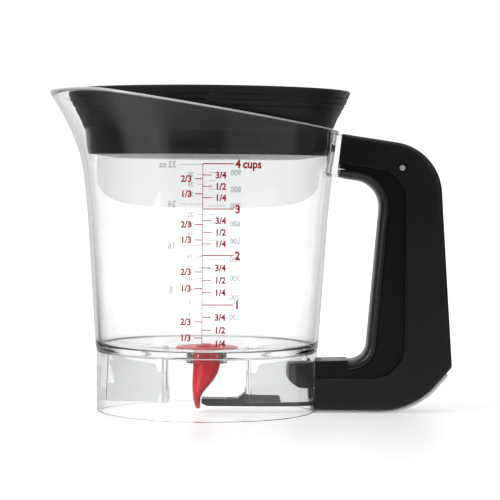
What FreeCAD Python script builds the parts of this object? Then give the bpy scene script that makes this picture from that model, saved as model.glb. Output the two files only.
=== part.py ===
"""Gravy fat separator: a clear pouring jug with a drain valve in its raised floor,
a trigger in the handle that works the valve, and a lift-off strainer.

Millimetres. Z is up from the table, X points from the spout to the handle, and the
origin is on the table under the middle of the whole object."""
import FreeCAD, Part
import math
import os

V = FreeCAD.Vector

# Jug wall: outer radii at their heights, and how far the mouth leans to the spout
wall = 2.6
foot_radius = 55.9
floor_level_radius = 56.2
step_radius = 56.75
step_height = 33.0
cone_radius = 61.0
cone_height = 98.0
throat_radius = 61.85
throat_height = 108.0
neck_radius = 63.0
neck_height = 119.0
shoulder_radius = 64.4
shoulder_height = 127.0
flare_radius = 66.1
flare_height = 135.0
flare_lean = 0.7
bell_radius = 68.4
bell_height = 143.0
bell_lean = 2.0
mouth_radius = 71.2
mouth_height = 151.5
mouth_lean = 3.6
lip_radius = 75.1
lip_height = 161.5
lip_lean = 6.0
overrun = 5.0

# Rim: level over the spout, then one straight slope down to the handle
rim_break_x = -55.0
rim_slope = 0.157
rim_bend_radius = 120.0

# Raised floor, its drain collar and the open skirt under it
skirt_height = 31.1
skirt_foot_wall = 1.3
skirt_top_wall = 2.5
floor_thickness = 2.7
floor_dish = 3.0
floor_flat_radius = 17.5
collar_radius = 10.6
collar_drop = 2.9
collar_bore_radius = 7.3

# Guide ribs and webs under the floor
rib_distance = 21.2
rib_thickness = 2.3
rib_lift = 10.2
rib_leg_thickness = 3.8
rib_leg_width = 1.8
rib_leg_lift = 5.0
web_distance = 12.0
web_thickness = 1.2
web_lift = 6.0

# Silicone valve
soft_gap = 0.3
flange_radius = 16.0
flange_thickness = 1.0
neck_wall = 1.4

# Handle: outline corners of the outer shell
handle_half_width = 13.0
shell_wall = 2.0
shell_edge_radius = 3.0
shell_base_lift = 1.1
shell_root_low_x = 65.6
shell_root_high_x = 67.9
shell_top_z = 140.8
shell_knuckle_x = 116.6
shell_knuckle_z = 133.7
shell_knuckle_radius = 27.0
shell_heel_x = 124.2
shell_heel_z = 23.4
shell_heel_radius = 3.0
shell_sole_x = 104.8
shell_sole_radius = 37.0
seam_root_z = 126.6
seam_top_z = 121.2
seam_x = 100.0
seam_top_radius = 16.0
seam_base_z = 17.4
seam_base_radius = 16.3
spine_thickness = 1.0
spine_half_width = 12.0
spine_end_x = 122.0
fit_gap = 0.1
clear_gap = 0.3

# Trigger: the finger loop outline, and how far it reaches into the shell
trigger_half_width = 10.6
trigger_wall = 2.2
trigger_root_x = 65.9
loop_root_z = 118.6
loop_top_x = 87.9
loop_top_z = 115.7
loop_top_radius = 13.5
loop_base_x = 80.5
loop_base_z = 26.4
loop_base_radius = 8.5
trigger_overlap = 4.6
trigger_top_overlap = 3.0
trigger_hidden_radius = 12.0
hook_x = 41.3
hook_top_z = 25.6
hook_radius = 8.0
hook_nose_radius = 1.6
channel_start_x = 58.0

# Soft grip on the trigger
grip_thickness = 4.6
grip_half_width = 10.2
grip_edge_radius = 3.4
grip_end_x = 72.0

# Pivot pin at the top of the handle
pivot_x = 97.8
pivot_z = 123.9
pivot_pin_radius = 1.5
pivot_boss_radius = 4.6
pivot_recess_radius = 2.3
pivot_recess_depth = 0.6
running_gap = 0.05

# Return spring between the trigger and the shell
spring_z = 70.0
spring_mean_radius = 4.2
spring_wire_radius = 0.45
spring_turns = 6
spring_post_radius = 2.8
spring_post_length = 3.0
spring_seat_half_height = 8.0

# Handle screws, through a tongue of the jug into the shell
tongue_z = 131.9
tongue_thickness = 2.4
tongue_half_width = 7.0
tongue_end_x = 84.5
screw_first_x = 73.0
screw_spacing = 7.0
screw_count = 2
screw_radius = 1.25
screw_head_radius = 2.6
screw_head_height = 1.4
screw_length = 3.4
screw_boss_radius = 3.2
screw_pass_gap = 0.3

# Valve arm and the pin that links it to the trigger
arm_half_width = 5.5
arm_tip_x = -2.5
arm_tip_low_z = 4.6
arm_tip_high_z = 7.2
arm_thickness_left = 3.6
arm_base_z = 3.4
arm_ramp_x = 15.6
arm_block_x = 19.0
arm_block_end_x = 37.3
arm_block_top_z = 9.6
arm_thickness_right = 2.9
arm_neck_x = 75.0
arm_neck_half_width = 2.8
arm_notch_x = 10.2
arm_notch_length = 5.2
arm_notch_width = 5.0
link_x = 88.0
link_z = 9.0
link_pin_radius = 1.0
link_boss_radius = 3.1
link_slot_gap = 0.5
cheek_thickness = 2.2
arm_slot_gap = 0.5
window_gap = 0.5
window_low_z = 8.4
window_high_z = 27.2

# Clear pad between the jug wall and the shell
pad_low_z = 120.5
pad_foot_z = 118.8
pad_foot_thickness = 1.7
pad_foot_half_width = 9.0

# Strainer
strainer_wall = 1.8
strainer_base_z = 129.7
strainer_base_radius = 60.7
strainer_band_z = 133.0
strainer_band_radius = 61.7
strainer_band_top_z = 141.0
strainer_band_top_radius = 62.3
strainer_flare_z = 148.0
strainer_flare_radius = 65.2
strainer_step_z = 156.0
strainer_step_radius = 69.6
strainer_rim_z = 162.0
strainer_rim_radius = 71.75
groove_count = 3
groove_first_z = 152.6
groove_spacing = 2.7
groove_radius = 0.45
strainer_dish = 2.0
strainer_floor_thickness = 1.6
plate_radius = 46.0
hole_radius = 1.5
hole_ring_spacing = 7.0
hole_ring_count = 6
hole_ring_step = 6

# Middle of the whole object, from the spout tip to the back of the handle
handle_back_x = shell_heel_x
middle_x = (handle_back_x - lip_radius - lip_lean) / 2.0

floor_z = skirt_height + floor_thickness
floor_centre_z = floor_z - floor_dish
collar_low_z = floor_centre_z - floor_thickness - collar_drop
neck_outer_radius = collar_bore_radius - soft_gap
flange_low_z = floor_centre_z + soft_gap
neck_low_z = collar_low_z - soft_gap
arm_top_right_z = arm_base_z + arm_thickness_right
spring_seat_x = seam_x + trigger_overlap


def box(x_low, x_high, y_low, y_high, z_low, z_high):
    """Box between two corners."""
    return Part.makeBox(x_high - x_low, y_high - y_low, z_high - z_low, V(x_low, y_low, z_low))


def bar_y(x, z, radius, y_low, y_high):
    """Round bar along Y."""
    return Part.makeCylinder(radius, y_high - y_low, V(x, y_low, z), V(0, 1, 0))


def bar_x(x_low, x_high, z, radius):
    """Round bar along X on the middle plane."""
    return Part.makeCylinder(radius, x_high - x_low, V(x_low, 0, z), V(1, 0, 0))


def bar_z(x, y, radius, z_low, z_high):
    """Round bar along Z."""
    return Part.makeCylinder(radius, z_high - z_low, V(x, y, z_low), V(0, 0, 1))


def ring_wire(x, z, radius_x, radius_y):
    """Level ellipse or circle around (x, z)."""
    if abs(radius_x - radius_y) < 1e-9:
        curve = Part.Circle(V(x, 0, z), V(0, 0, 1), radius_x)
    elif radius_x > radius_y:
        curve = Part.Ellipse(V(x + radius_x, 0, z), V(x, radius_y, z), V(x, 0, z))
    else:
        curve = Part.Ellipse(V(x, radius_y, z), V(x - radius_x, 0, z), V(x, 0, z))
    return Part.Wire([curve.toShape()])


def unit(from_point, to_point):
    """Direction from one side-view point to another."""
    dx = to_point[0] - from_point[0]
    dz = to_point[1] - from_point[1]
    length = math.hypot(dx, dz)
    return dx / length, dz / length


def moved_line(start, end, distance):
    """Side-view line moved to its left by a distance."""
    dx, dz = unit(start, end)
    shift = (-dz * distance, dx * distance)
    return (start[0] + shift[0], start[1] + shift[1]), (end[0] + shift[0], end[1] + shift[1])


def crossing(line_a, line_b):
    """Point where two side-view lines cross."""
    (ax, az), (bx, bz) = line_a
    (cx, cz), (dx, dz) = line_b
    ux, uz = bx - ax, bz - az
    vx, vz = dx - cx, dz - cz
    share = ((cx - ax) * vz - (cz - az) * vx) / (ux * vz - uz * vx)
    return ax + share * ux, az + share * uz


def offset_path(corners, distance):
    """Open path of (x, z, radius) corners moved to its left, with its radii to suit."""
    lines = []
    for start, end in zip(corners, corners[1:]):
        lines.append(moved_line(start, end, distance))
    moved = [(lines[0][0][0], lines[0][0][1], 0.0)]
    for index in range(1, len(corners) - 1):
        x, z = crossing(lines[index - 1], lines[index])
        ux, uz = unit(corners[index - 1], corners[index])
        vx, vz = unit(corners[index], corners[index + 1])
        turns_left = ux * vz - uz * vx > 0
        radius = corners[index][2] - distance if turns_left else corners[index][2] + distance
        moved.append((x, z, max(radius, 0.0)))
    moved.append((lines[-1][1][0], lines[-1][1][1], 0.0))
    return moved


def rounded_wire(corners):
    """Closed side-view wire through (x, z, radius) corners, rounded by tangent arcs."""
    edges = []
    ends = []
    count = len(corners)
    for index in range(count):
        x, z, radius = corners[index]
        before = unit((x, z), corners[index - 1])
        after = unit((x, z), corners[(index + 1) % count])
        if radius <= 0.0:
            ends.append((V(x, 0, z), V(x, 0, z), None))
            continue
        half = math.acos(before[0] * after[0] + before[1] * after[1]) / 2.0
        reach = radius / math.tan(half)
        start = V(x + before[0] * reach, 0, z + before[1] * reach)
        end = V(x + after[0] * reach, 0, z + after[1] * reach)
        inward = V(before[0] + after[0], 0, before[1] + after[1]).normalize()
        middle = V(x, 0, z) + inward * (radius / math.sin(half) - radius)
        ends.append((start, end, middle))
    for index in range(count):
        start, end, middle = ends[index]
        if middle is not None:
            edges.append(Part.Arc(start, middle, end).toShape())
        next_start = ends[(index + 1) % count][0]
        if end.distanceToPoint(next_start) > 1e-6:
            edges.append(Part.LineSegment(end, next_start).toShape())
    return Part.Wire(edges)


def plate(corners, half_width):
    """Side-view outline pulled out to both sides of the middle plane."""
    face = Part.Face(rounded_wire(corners))
    solid = face.extrude(V(0, 2.0 * half_width, 0))
    solid.translate(V(0, -half_width, 0))
    return solid


def turned(points):
    """Closed outline of (radius, z) points turned around the jug's axis."""
    wire = Part.makePolygon([V(radius, 0, z) for radius, z in points + points[:1]])
    return Part.Face(wire).revolve(V(0, 0, 0), V(0, 0, 1), 360)


def loft(wires):
    """Smooth solid through level wires."""
    return Part.makeLoft(wires, True, False)


def joined(first, others):
    """First shape with the others fused to it, as one clean solid."""
    return first.fuse(others).removeSplitter()


def bell_form(inset):
    """Inside or outside form of the jug above its straight cone, drawn in by inset."""
    lip_rise = (lip_radius - mouth_radius) / (lip_height - mouth_height)
    lean_rise = (lip_lean - mouth_lean) / (lip_height - mouth_height)
    sections = [
        (cone_height, cone_radius, 0.0),
        (throat_height, throat_radius, 0.0),
        (neck_height, neck_radius, 0.0),
        (shoulder_height, shoulder_radius, 0.0),
        (flare_height, flare_radius, flare_lean),
        (bell_height, bell_radius, bell_lean),
        (mouth_height, mouth_radius, mouth_lean),
        (lip_height, lip_radius, lip_lean),
        (lip_height + overrun, lip_radius + lip_rise * overrun, lip_lean + lean_rise * overrun),
    ]
    return loft([ring_wire(-lean, z, radius - inset, radius - inset) for z, radius, lean in sections])


def make_cup():
    """Lower jug turned in one: skirt, raised floor with its collar, and the straight cone."""
    under_z = floor_centre_z - floor_thickness
    cone_rise = (cone_radius - step_radius) / (cone_height - step_height)
    return turned([
        (foot_radius, 0.0),
        (floor_level_radius, step_height - (step_radius - floor_level_radius) * 4.0),
        (step_radius, step_height),
        (cone_radius, cone_height),
        (cone_radius - wall, cone_height),
        (step_radius - wall + cone_rise * (floor_z - step_height), floor_z),
        (floor_flat_radius, floor_centre_z),
        (collar_bore_radius, floor_centre_z),
        (collar_bore_radius, collar_low_z),
        (collar_radius, collar_low_z),
        (collar_radius, under_z),
        (floor_flat_radius, under_z),
        (floor_level_radius - skirt_top_wall, skirt_height),
        (foot_radius - skirt_foot_wall, 0.0),
    ])


def above_rim():
    """Everything above the sloping rim."""
    far = lip_radius + lip_lean + overrun
    low_z = lip_height - rim_slope * (far - rim_break_x)
    outline = [
        (-far, lip_height, 0.0),
        (rim_break_x, lip_height, rim_bend_radius),
        (far, low_z, 0.0),
        (far, lip_height + 3.0 * overrun, 0.0),
        (-far, lip_height + 3.0 * overrun, 0.0),
    ]
    return plate(outline, far)


def shell_outline():
    """Outer side-view path of the handle shell, from its top root round to its sole."""
    return [
        (shell_root_high_x, shell_top_z, 0.0),
        (shell_knuckle_x, shell_knuckle_z, shell_knuckle_radius),
        (shell_heel_x, shell_heel_z, shell_heel_radius),
        (shell_sole_x, shell_base_lift, shell_sole_radius),
        (floor_level_radius - overrun, shell_base_lift, 0.0),
    ]


def loop_path():
    """Side-view path of the finger loop, from the top root round to the grip's end."""
    return [
        (trigger_root_x, loop_root_z, 0.0),
        (loop_top_x, loop_top_z, loop_top_radius),
        (loop_base_x, loop_base_z, loop_base_radius),
        (grip_end_x, loop_base_z, 0.0),
    ]


def make_spine():
    """Clear strip of the jug that runs under the shell and up its lower corner."""
    inner = offset_path(shell_outline(), fit_gap)
    outer = offset_path(shell_outline(), fit_gap + spine_thickness)
    strip = plate(outer[2:] + inner[:1:-1], spine_half_width)
    keep = box(floor_level_radius - wall / 2.0, spine_end_x, -handle_half_width, handle_half_width,
               shell_base_lift - fit_gap - spine_thickness, shell_heel_z)
    return strip.common(keep)


def root_x(z):
    """X of the shell's slanted end beside the jug at a height."""
    lean = (shell_root_high_x - shell_root_low_x) / (shell_top_z - pad_low_z)
    return shell_root_low_x + lean * (z - pad_low_z)


def make_pad():
    """Clear pad that carries the top of the shell, with its screw tongue."""
    inside_x = neck_radius - wall / 2.0
    top_z = shell_top_z - clear_gap
    face = plate([
        (inside_x, pad_low_z, 0.0),
        (root_x(pad_low_z) - clear_gap, pad_low_z, 0.0),
        (root_x(top_z) - clear_gap, top_z, 0.0),
        (inside_x, top_z, 0.0),
    ], handle_half_width)
    foot = box(inside_x, neck_radius + pad_foot_thickness, -pad_foot_half_width, pad_foot_half_width,
               pad_foot_z, pad_low_z + 1.0)
    tongue = box(inside_x, tongue_end_x, -tongue_half_width, tongue_half_width,
                 tongue_z, tongue_z + tongue_thickness)
    solid = face.fuse([foot, tongue])
    for x in screw_places():
        solid = solid.cut(bar_z(x, 0, screw_radius + screw_pass_gap, tongue_z - 1.0, tongue_z + tongue_thickness + 1.0))
    return solid


def screw_places():
    """X of each handle screw."""
    return [screw_first_x + index * screw_spacing for index in range(screw_count)]


def make_guides():
    """Cross ribs with legs beside the arm, and the long webs, under the floor."""
    top_z = floor_centre_z - floor_thickness / 2.0
    leg_in = arm_half_width + arm_slot_gap + 0.2
    half_leg = rib_leg_thickness / 2.0
    parts = []
    for side in (-1, 1):
        x = side * rib_distance
        parts.append(box(x - rib_thickness / 2.0, x + rib_thickness / 2.0, -web_distance, web_distance,
                         rib_lift, top_z))
        for hand in (-1, 1):
            leg = plate([
                (x - half_leg, rib_leg_lift, half_leg * 0.9),
                (x + half_leg, rib_leg_lift, half_leg * 0.9),
                (x + half_leg, rib_lift + half_leg, 0.0),
                (x - half_leg, rib_lift + half_leg, 0.0),
            ], rib_leg_width / 2.0)
            leg.translate(V(0, hand * (leg_in + rib_leg_width / 2.0), 0))
            parts.append(leg)
            web_y = hand * web_distance
            far_x = side * (foot_radius - web_distance ** 2 / (2.0 * foot_radius) - skirt_top_wall / 2.0)
            parts.append(box(min(x, far_x), max(x, far_x), web_y - web_thickness / 2.0, web_y + web_thickness / 2.0,
                             web_lift, skirt_height + 0.5))
    return parts[0].fuse(parts[1:])


def make_jug_body():
    """Clear jug: wall, floor, collar, skirt, guides, pad and spine in one moulding."""
    bell = bell_form(0.0).cut(bell_form(wall)).cut(above_rim())
    pad = make_pad().cut(bell_form(wall / 2.0))
    far_x = floor_level_radius + overrun
    near_x = foot_radius - 2.0 * overrun
    trigger_window = box(near_x, far_x, -trigger_half_width - window_gap, trigger_half_width + window_gap,
                         window_low_z, window_high_z)
    arm_window = box(near_x, far_x, -arm_half_width - arm_slot_gap, arm_half_width + arm_slot_gap,
                     arm_base_z - arm_slot_gap, arm_top_right_z + arm_slot_gap)
    cup = make_cup().cut(trigger_window.fuse(arm_window))
    return joined(cup.fuse([bell, pad, make_spine()]), [make_guides()])


def make_handle_shell():
    """Black outer shell of the handle, hollow and open towards the fingers."""
    outline = shell_outline()
    end_x = outline[-1][0]
    corners = outline + [
        (end_x, seam_base_z, 0.0),
        (seam_x, seam_base_z, seam_base_radius),
        (seam_x, seam_top_z, seam_top_radius),
        (root_x(seam_root_z), seam_root_z, 0.0),
    ]
    block = plate(corners, handle_half_width)
    rounded = []
    for edge in block.Edges:
        centre = edge.CenterOfMass
        on_side = abs(abs(centre.y) - handle_half_width) < 1e-3
        if on_side and is_outer_edge(edge):
            rounded.append(edge)
    block = block.makeFillet(shell_edge_radius, rounded)
    hollow_path = offset_path(outline, -shell_wall)
    hollow = plate([(hollow_path[0][0] - 2.0 * overrun, hollow_path[0][1], 0.0)] + hollow_path[1:],
                   handle_half_width - shell_wall)
    roof_lean = (shell_top_z - shell_knuckle_z) / (shell_knuckle_x - shell_root_high_x)
    shell = block.cut(hollow)
    for x in screw_places():
        roof_z = shell_top_z - roof_lean * (x - shell_root_high_x)
        boss_low = tongue_z + tongue_thickness + fit_gap
        shell = shell.fuse(bar_z(x, 0, screw_boss_radius, boss_low, roof_z - shell_wall / 2.0))
    wall_x = side_wall_x(spring_z)
    shell = shell.fuse(bar_x(wall_x - shell_wall - spring_post_length, wall_x - shell_wall / 2.0, spring_z,
                             spring_post_radius))
    for x in screw_places():
        top_z = tongue_z + screw_length + tongue_thickness / 2.0
        shell = shell.cut(bar_z(x, 0, screw_radius + running_gap, tongue_z, top_z + running_gap))
    shell = shell.cut(bar_y(pivot_x, pivot_z, pivot_pin_radius + running_gap, -handle_half_width, handle_half_width))
    for y_low in (-handle_half_width, handle_half_width - pivot_recess_depth):
        shell = shell.cut(bar_y(pivot_x, pivot_z, pivot_recess_radius, y_low, y_low + pivot_recess_depth))
    around_jug = Part.makeCylinder(floor_level_radius + clear_gap, skirt_height, V(0, 0, 0), V(0, 0, 1))
    return shell.cut(around_jug).removeSplitter()


def is_outer_edge(edge):
    """True where an edge of the shell's side lies on its outer path, not on the seam."""
    middle = edge.valueAt((edge.FirstParameter + edge.LastParameter) / 2.0)
    above = middle.z > seam_root_z + 1.0 + (shell_top_z - seam_root_z) * 0.2
    behind = middle.x > seam_x + 1.0
    below = middle.z < shell_base_lift + 1.0
    return (above or behind or below) and middle.x > shell_root_high_x


def side_wall_x(z):
    """X of the shell's back at a height."""
    lean = (shell_heel_x - shell_knuckle_x) / (shell_knuckle_z - shell_heel_z)
    return shell_heel_x - lean * (z - shell_heel_z)


def trigger_corners():
    """Side-view outline of the trigger behind its soft grip."""
    under_grip = offset_path(loop_path(), grip_thickness + soft_gap)
    hidden_x = seam_x + trigger_overlap
    hidden_z = seam_base_z - trigger_overlap
    hidden_top_z = seam_root_z + trigger_top_overlap
    seat_x = grip_end_x - soft_gap
    low = under_grip[-1][1]
    return under_grip[:-1] + [
        (seat_x, low, 0.0),
        (seat_x, loop_base_z, 0.6),
        (hook_x, hook_top_z, hook_nose_radius),
        (hook_x, hidden_z, hook_radius),
        (hidden_x, hidden_z, seam_base_radius + trigger_overlap),
        (hidden_x, seam_top_z + trigger_top_overlap, trigger_hidden_radius),
        (root_x(hidden_top_z) + clear_gap, hidden_top_z, 0.0),
    ]


def make_trigger_lever():
    """Hard trigger: an open channel with a pivot boss, a spring seat and two link cheeks."""
    block = plate(trigger_corners(), trigger_half_width)
    inner = offset_path(loop_path(), grip_thickness + soft_gap + trigger_wall)
    low = inner[-1][1]
    beyond_x = seam_x + 3.0 * trigger_overlap
    channel = plate([(trigger_root_x - 1.0, inner[0][1] + 0.1, 0.0)] + inner[1:-1] + [
        (channel_start_x, low, 0.0),
        (channel_start_x, 0.0, 0.0),
        (beyond_x, 0.0, 0.0),
        (beyond_x, shell_top_z, 0.0),
        (trigger_root_x - 1.0, shell_top_z, 0.0),
    ], trigger_half_width - trigger_wall)
    lever = block.cut(channel)
    inside = trigger_half_width - trigger_wall / 2.0
    seat = box(spring_seat_x - trigger_wall, spring_seat_x, -inside, inside,
               spring_z - spring_seat_half_height, spring_z + spring_seat_half_height)
    post = bar_x(spring_seat_x - trigger_wall / 2.0, spring_seat_x + spring_post_length, spring_z, spring_post_radius)
    boss = bar_y(pivot_x, pivot_z, pivot_boss_radius, -trigger_half_width, trigger_half_width)
    fused = [seat, post, boss]
    for hand in (-1, 1):
        near = hand * (arm_neck_half_width + clear_gap)
        far = near + hand * cheek_thickness
        y_low = min(near, far)
        y_high = max(near, far)
        stem = box(link_x - link_boss_radius, link_x + link_boss_radius, y_low, y_high, seam_base_z,
                   loop_base_z + 2.0 * loop_base_radius)
        fused.append(stem.common(block))
        fused.append(box(link_x - link_boss_radius, link_x + link_boss_radius, y_low, y_high, link_z, seam_base_z + 1.0))
        fused.append(bar_y(link_x, link_z, link_boss_radius, y_low, y_high))
    lever = joined(lever, fused)
    lever = lever.cut(bar_y(pivot_x, pivot_z, pivot_pin_radius + running_gap, -handle_half_width, handle_half_width))
    reach = arm_neck_half_width + clear_gap + cheek_thickness
    lever = lever.cut(bar_y(link_x, link_z, link_pin_radius + running_gap, -reach - 1.0, reach + 1.0))
    return lever


def make_trigger_grip():
    """Soft grip moulded round the finger side of the trigger."""
    path = loop_path()
    back = offset_path(path, grip_thickness)
    block = plate(path + back[::-1], grip_half_width)
    rounded = []
    for edge in block.Edges:
        middle = edge.valueAt((edge.FirstParameter + edge.LastParameter) / 2.0)
        on_side = abs(abs(middle.y) - grip_half_width) < 1e-3
        if on_side and path_distance(middle, path) < 0.05:
            rounded.append(edge)
    return block.makeFillet(grip_edge_radius, rounded)


def path_distance(point, corners):
    """Distance in side view from a point to a rounded open path."""
    wire_edges = rounded_wire(corners + [(corners[0][0] - 50.0, corners[-1][1] - 50.0, 0.0)]).Edges
    flat = Part.Vertex(V(point.x, 0, point.z))
    near = [edge.distToShape(flat)[0] for edge in wire_edges[:-2]]
    return min(near)


def make_pivot_pin():
    """Steel pin that the trigger turns on."""
    half = handle_half_width - pivot_recess_depth / 2.0
    pin = bar_y(pivot_x, pivot_z, pivot_pin_radius, -half, half)
    return pin.makeChamfer(pivot_pin_radius * 0.15, [edge for edge in pin.Edges if edge.isClosed()])


def make_handle_screws():
    """Screws up through the jug's tongue into the shell."""
    screws = []
    for x in screw_places():
        shank = bar_z(x, 0, screw_radius, tongue_z - 0.01, tongue_z + screw_length + tongue_thickness / 2.0)
        head = bar_z(x, 0, screw_head_radius, tongue_z - screw_head_height, tongue_z)
        slot = box(x - screw_head_radius, x + screw_head_radius, -0.3, 0.3,
                   tongue_z - screw_head_height, tongue_z - screw_head_height / 2.0)
        screws.append(shank.fuse(head).cut(slot).removeSplitter())
    return Part.makeCompound(screws)


def make_return_spring():
    """Coil spring along X, wound from biarcs of a quarter turn, with straight ends."""
    start_x = spring_seat_x + clear_gap + spring_wire_radius
    end_x = side_wall_x(spring_z + spring_mean_radius) - shell_wall - clear_gap - spring_wire_radius
    pitch = (end_x - start_x) / spring_turns
    edges = []
    for quarter in range(spring_turns * 4):
        points = []
        for share in (0.0, 0.5, 1.0):
            angle = (quarter + share) * math.pi / 2.0
            points.append(V(start_x + pitch * (quarter + share) / 4.0, spring_mean_radius * math.cos(angle),
                            spring_z + spring_mean_radius * math.sin(angle)))
        edges.append(Part.Arc(points[0], points[1], points[2]).toShape())
    path = Part.Wire(edges)
    direction = edges[0].tangentAt(edges[0].FirstParameter)
    section = Part.Wire([Part.Circle(edges[0].valueAt(edges[0].FirstParameter), direction, spring_wire_radius).toShape()])
    print("least gap between the spring's turns", round(pitch - 2.0 * spring_wire_radius, 3))
    return path.makePipeShell([section], True, False)


def make_valve_arm():
    """Sliding arm whose tip presses the silicone sleeve shut."""
    top_left = arm_base_z + arm_thickness_left
    body = plate([
        (arm_tip_x, arm_tip_low_z, 0.6),
        (arm_tip_x + 3.0, arm_base_z, 0.0),
        (arm_neck_x + overrun, arm_base_z, 0.0),
        (arm_neck_x + overrun, arm_top_right_z, 0.0),
        (arm_block_end_x + 1.0, arm_top_right_z, 0.8),
        (arm_block_end_x, arm_block_top_z, 0.8),
        (arm_block_x, arm_block_top_z, 0.8),
        (arm_ramp_x, top_left, 1.0),
        (arm_tip_x + 2.0, top_left, 0.0),
        (arm_tip_x, arm_tip_high_z, 0.4),
    ], arm_half_width)
    side = arm_half_width - arm_neck_half_width
    for hand in (-1, 1):
        y_mid = hand * (arm_neck_half_width + side)
        body = body.cut(box(arm_neck_x, arm_neck_x + 2.0 * overrun, y_mid - side, y_mid + side, 0.0, rib_lift))
    notch = box(arm_notch_x, arm_notch_x + arm_notch_length, -arm_notch_width / 2.0, arm_notch_width / 2.0,
                arm_base_z + arm_thickness_left / 2.0, rib_lift)
    neck = plate([
        (arm_neck_x, arm_base_z, 0.0),
        (link_x - 2.0 * link_boss_radius - 2.0, arm_base_z, 0.0),
        (link_x, link_z - link_boss_radius * 0.9, 0.0),
        (link_x, link_z + link_boss_radius * 0.9, 0.0),
        (link_x - 2.0 * link_boss_radius, arm_top_right_z, 0.0),
        (arm_neck_x, arm_top_right_z, 0.0),
    ], arm_neck_half_width)
    lug = bar_y(link_x, link_z, link_boss_radius, -arm_neck_half_width, arm_neck_half_width)
    arm = joined(body.cut(notch), [neck, lug])
    slot_radius = link_pin_radius + running_gap
    slot = bar_y(link_x, link_z - link_slot_gap, slot_radius, -arm_half_width, arm_half_width)
    slot = slot.fuse([
        bar_y(link_x, link_z + link_slot_gap, slot_radius, -arm_half_width, arm_half_width),
        box(link_x - slot_radius, link_x + slot_radius, -arm_half_width, arm_half_width,
            link_z - link_slot_gap, link_z + link_slot_gap),
    ])
    return arm.cut(slot)


def make_link_pin():
    """Pin through the trigger's cheeks and the arm's slot."""
    reach = arm_neck_half_width + clear_gap + cheek_thickness
    return bar_y(link_x, link_z, link_pin_radius, -reach, reach)


def make_valve_flange():
    """Silicone flange on the floor, with its neck through the collar."""
    bore = neck_outer_radius - neck_wall
    return turned([
        (bore, neck_low_z),
        (neck_outer_radius, neck_low_z),
        (neck_outer_radius, flange_low_z),
        (flange_radius, flange_low_z),
        (flange_radius, flange_low_z + flange_thickness * 0.6),
        (flange_radius - flange_thickness, flange_low_z + flange_thickness),
        (bore, flange_low_z + flange_thickness),
    ])


def make_valve_sleeve():
    """Silicone sleeve that hangs from the neck and is pinched flat by the arm's tip."""
    top = neck_low_z
    pinch_x = arm_tip_x - soft_gap
    sections = [
        (top, 0.0, neck_outer_radius, neck_outer_radius),
        (top - 5.4, -0.7, neck_outer_radius - 0.6, neck_outer_radius + 0.2),
        (top - 10.9, -2.6, neck_outer_radius - 2.6, neck_outer_radius + 0.5),
        (top - 15.5, pinch_x - 1.7, 1.7, neck_outer_radius + 0.8),
        (top - 18.9, pinch_x - 1.3, 1.2, neck_outer_radius + 0.8),
        (top - 21.2, pinch_x - 1.1, 1.0, neck_outer_radius - 0.8),
        (top - 23.2, pinch_x - 1.2, 0.7, neck_outer_radius - 3.2),
    ]
    skin = loft([ring_wire(x, z, half_x, half_y) for z, x, half_x, half_y in sections])
    bore = loft([
        ring_wire(x, z, half_x - neck_wall, half_y - neck_wall) for z, x, half_x, half_y in sections[:3]
    ])
    return skin.cut(bore)


def make_strainer_lid():
    """Strainer: a funnel with a flared, grooved rim and a perforated floor."""
    outer = [
        (strainer_base_radius, strainer_base_z),
        (strainer_band_radius, strainer_band_z),
        (strainer_band_top_radius, strainer_band_top_z),
        (strainer_flare_radius, strainer_flare_z),
        (strainer_step_radius, strainer_step_z),
        (strainer_rim_radius, strainer_rim_z - 0.8),
        (strainer_rim_radius - 0.5, strainer_rim_z),
    ]
    inner = [(radius - strainer_wall, z) for radius, z in outer[::-1]]
    inner[-1] = (inner[-1][0], strainer_base_z + strainer_floor_thickness)
    plate_z = strainer_base_z - strainer_dish
    cup = turned([(plate_radius, plate_z)] + outer + inner + [(plate_radius, plate_z + strainer_floor_thickness)])
    for index in range(groove_count):
        z = groove_first_z + index * groove_spacing
        radius = strainer_outer_radius(outer, z)
        cup = cup.cut(Part.makeTorus(radius, groove_radius, V(0, 0, z), V(0, 0, 1)))
    return cup.fuse(make_strainer_plate(plate_z)).removeSplitter()


def make_strainer_plate(plate_z):
    """Level perforated middle of the strainer's floor."""
    wires = [ring_wire(0.0, plate_z, plate_radius, plate_radius), ring_wire(0.0, plate_z, hole_radius, hole_radius)]
    for ring_index in range(1, hole_ring_count + 1):
        count = hole_ring_step * ring_index
        radius = hole_ring_spacing * ring_index
        for index in range(count):
            angle = 2.0 * math.pi * index / count
            centre = V(radius * math.cos(angle), radius * math.sin(angle), plate_z)
            wires.append(Part.Wire([Part.Circle(centre, V(0, 0, 1), hole_radius).toShape()]))
    face = Part.Face(wires, "Part::FaceMakerBullseye")
    return face.extrude(V(0, 0, strainer_floor_thickness))


def strainer_outer_radius(outline, z):
    """Outer radius of the strainer at a height."""
    for (low_r, low_z), (high_r, high_z) in zip(outline, outline[1:]):
        if low_z <= z <= high_z:
            return low_r + (high_r - low_r) * (z - low_z) / (high_z - low_z)
    raise ValueError("height is not on the strainer")


def write(name, shape):
    """Write one piece, moved so that the whole object is centred on the origin."""
    piece = shape.copy()
    piece.translate(V(-middle_x, 0, 0))
    piece.exportStep("parts/" + name + ".step")
    size = piece.BoundBox
    print(name, len(piece.Solids), piece.isValid(), round(piece.Volume, 1),
          [round(value, 2) for value in (size.XMin, size.XMax, size.YMin, size.YMax, size.ZMin, size.ZMax)])


os.makedirs("parts", exist_ok=True)
write("jug_body", make_jug_body())
write("handle_shell", make_handle_shell())
write("handle_screws", make_handle_screws())
write("pivot_pin", make_pivot_pin())
write("trigger_lever", make_trigger_lever())
write("trigger_grip", make_trigger_grip())
write("return_spring", make_return_spring())
write("valve_arm", make_valve_arm())
write("link_pin", make_link_pin())
write("valve_flange", make_valve_flange())
write("valve_sleeve", make_valve_sleeve())
write("strainer_lid", make_strainer_lid())
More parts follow.
